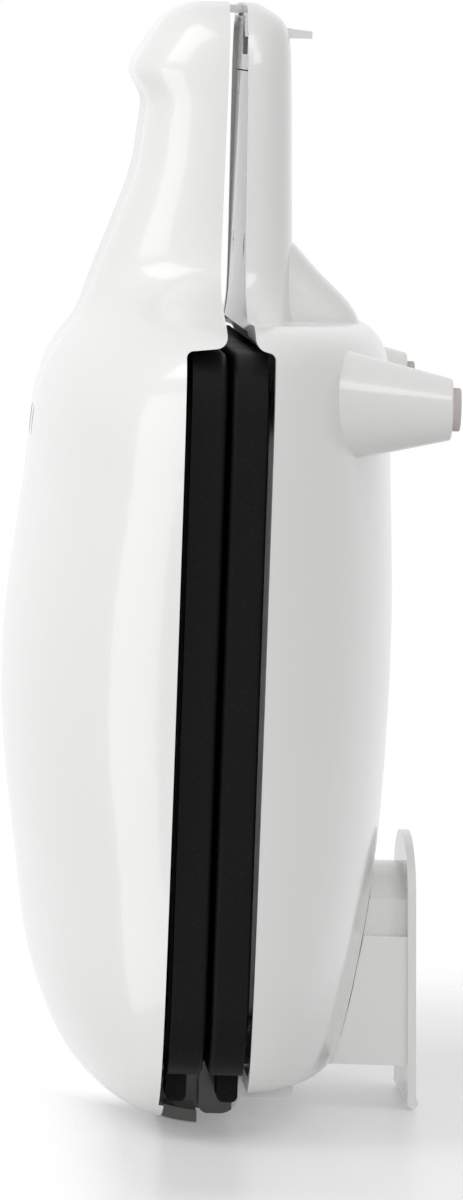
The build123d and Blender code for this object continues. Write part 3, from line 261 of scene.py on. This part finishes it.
def lens(name, color):
    """Clear coloured plastic, polished."""
    made = Material(name)
    made.feed("Base Color", made.mottled(made.noise(scale=300.0), color, darkest=0.85))
    made.rough(made.noise(scale=80.0), low=0.06, high=0.12)
    made.set(Transmission_Weight=0.35, IOR=1.49, Coat_Weight=0.5, Coat_Roughness=0.03)
    return made.data


finishes = {
    # The white shell carries painted shade on its hinge end
    "shell_white": moulded("shell_white", (0.80, 0.80, 0.79), roughness=0.24, coat=0.5,
                           hinge=True),
    "plate_black": coated("plate_black", (0.0055, 0.0055, 0.0052), roughness=0.5),
    "tray_metal": metal("tray_metal", (0.66, 0.66, 0.67), roughness=0.34,
                        stretch=(1.0, 14.0, 1.0)),
    "element_metal": metal("element_metal", (0.20, 0.20, 0.205), roughness=0.42),
    "spring_steel": metal("spring_steel", (0.50, 0.50, 0.51), roughness=0.30),
    "screw_steel": metal("screw_steel", (0.58, 0.58, 0.59), roughness=0.26,
                         stretch=(3.0, 3.0, 1.0)),
    "pad_rubber": rubber("pad_rubber", (0.58, 0.54, 0.52)),
    "gland_rubber": rubber("gland_rubber", (0.50, 0.50, 0.50)),
    "wire_sleeve": rubber("wire_sleeve", (0.70, 0.69, 0.64)),
    "red_lens": lens("red_lens", (0.62, 0.03, 0.02)),
    "green_lens": lens("green_lens", (0.03, 0.42, 0.10)),
    "inner_plastic": moulded("inner_plastic", (0.70, 0.68, 0.62), roughness=0.5,
                             grain=0.00004),
    "control_metal": metal("control_metal", (0.6, 0.6, 0.61), roughness=0.36),
}

# Every CAD node gets its slot's finish and smooth shading over its curved faces
SMOOTH_ANGLE = radians(24)
slot_of = {entry["node"]: entry["material_slot"] for entry in frame["record"]["subparts"]}
for name, node in frame["nodes"].items():
    node.data.materials.clear()
    node.data.materials.append(finishes[slot_of[name]])
    node.data.shade_smooth()
    node.data.set_sharp_from_angle(angle=SMOOTH_ANGLE)

# Floor: the photograph shows the iron stored on end, so its floor faces the handle. A share of
# it is clear everywhere. Each fade to clear runs from its first place to its second, measured
# from the floor's middle. The side fade lies on both sides of the iron, the base fade on the
# base's side and the lid fade on the lid's. The opened lid swings back through the floor's
# plane, so the lid fade ends early, and from the swing fade up the floor is also open past the
# near fade, where the iron hides most of it from the photograph. What stays before the near
# fade veils the corner of the opened lid by its hinge.
FLOOR_GAP = 0.0004
FLOOR_HALF = 1.2
FLOOR_TONE = (0.90, 0.90, 0.90)
FLOOR_CLEAR = 0.25
SIDE_FADE = (0.12, 0.34)
BASE_FADE = (-0.07, -0.15)
LID_FADE = (0.012, 0.040)
SWING_FADE = (0.004, 0.010)
NEAR_FADE = (-0.055, 0.0)


def storage_floor():
    """A sheet of paper under the hinge end, which fades into the white background around the
    iron. From behind it is clear."""
    mesh = bpy.data.meshes.new("storage_floor")
    half = FLOOR_HALF
    mesh.from_pydata([(-half, 0, -half), (half, 0, -half), (half, 0, half), (-half, 0, half)],
                     [], [(0, 1, 2, 3)])
    floor = bpy.data.objects.new("storage_floor", mesh)
    floor.location = (0, cad_high.y + FLOOR_GAP, (cad_low.z + cad_high.z) / 2)
    scene.collection.objects.link(floor)
    made = Material("floor_paper")
    made.feed("Base Color", made.mottled(made.noise(scale=30.0), FLOOR_TONE, darkest=0.99))
    made.set(Roughness=0.32, Specular_IOR_Level=0.4)
    nodes, links = made.nodes, made.links
    across, over = made.axis("X"), made.axis("Z")
    opening = made.math("MULTIPLY", made.step(over, *SWING_FADE), made.step(across, *NEAR_FADE))
    clear_part = nodes.new("ShaderNodeNewGeometry").outputs["Backfacing"]
    for part in (FLOOR_CLEAR, opening, made.step(over, *LID_FADE), made.step(over, *BASE_FADE),
                 made.step(made.math("ABSOLUTE", across), *SIDE_FADE)):
        clear_part = made.math("MAXIMUM", clear_part, part)
    clear = nodes.new("ShaderNodeBsdfTransparent")
    mix = nodes.new("ShaderNodeMixShader")
    links.new(clear_part, mix.inputs["Fac"])
    links.new(made.shader.outputs["BSDF"], mix.inputs[1])
    links.new(clear.outputs["BSDF"], mix.inputs[2])
    links.new(mix.outputs["Shader"], nodes["Material Output"].inputs["Surface"])
    mesh.materials.append(made.data)


WORLD_LIGHT = 0.47
PAPER_LIGHT = 1.0
WHITE = (1, 1, 1, 1)


def world_light():
    """Soft light all round, with the photograph's white background behind the object."""
    world = bpy.data.worlds.new("studio")
    scene.world = world
    world.use_nodes = True
    nodes, links = world.node_tree.nodes, world.node_tree.links
    light = nodes["Background"]
    paper = nodes.new("ShaderNodeBackground")
    for background, strength in ((light, WORLD_LIGHT), (paper, PAPER_LIGHT)):
        background.inputs["Color"].default_value = WHITE
        background.inputs["Strength"].default_value = strength
    path = nodes.new("ShaderNodeLightPath")
    seen = path.outputs["Is Camera Ray"]
    for ray in ("Is Glossy Ray", "Is Transmission Ray"):
        either = nodes.new("ShaderNodeMath")
        either.operation = "MAXIMUM"
        links.new(seen, either.inputs[0])
        links.new(path.outputs[ray], either.inputs[1])
        seen = either.outputs["Value"]
    mix = nodes.new("ShaderNodeMixShader")
    links.new(seen, mix.inputs["Fac"])
    links.new(light.outputs["Background"], mix.inputs[1])
    links.new(paper.outputs["Background"], mix.inputs[2])
    links.new(mix.outputs["Shader"], nodes["World Output"].inputs["Surface"])


def softbox(name, right, up, back, width, height, power):
    """A rectangular lamp that faces the iron. Its place is measured from the iron's middle
    along the picture's own directions, in metres, and its power is in watts."""
    middle = (cad_low + cad_high) / 2
    data = bpy.data.lights.new(name, "AREA")
    data.shape = "RECTANGLE"
    data.size = width
    data.size_y = height
    data.energy = power
    lamp = bpy.data.objects.new(name, data)
    scene.collection.objects.link(lamp)
    place = middle + view_right * right + view_up * up + view_back * back
    facing = (place - middle).normalized()
    side = view_up.cross(facing).normalized()
    turn = Matrix((side, facing.cross(side), facing)).transposed()
    lamp.matrix_world = Matrix.Translation(place) @ turn.to_4x4()
    return lamp


storage_floor()
world_light()
softbox("strip_left", right=-1.2, up=0.0, back=0.5, width=1.0, height=1.3, power=6.0)
softbox("top_left", right=-0.8, up=1.3, back=0.3, width=1.0, height=1.0, power=6.5)
softbox("foot_stripe", right=0.66, up=1.1, back=0.93, width=0.3, height=0.8, power=2.6)
softbox("front_window", right=0.45, up=0.35, back=2.4, width=0.25, height=0.7, power=1.8)

# This lamp reaches into the slot between the handle's halves, and shows in no gloss
gap_light = softbox("gap_light", right=0.05, up=0.1, back=2.6, width=0.10, height=0.8,
                    power=11.0)
gap_light.visible_glossy = False
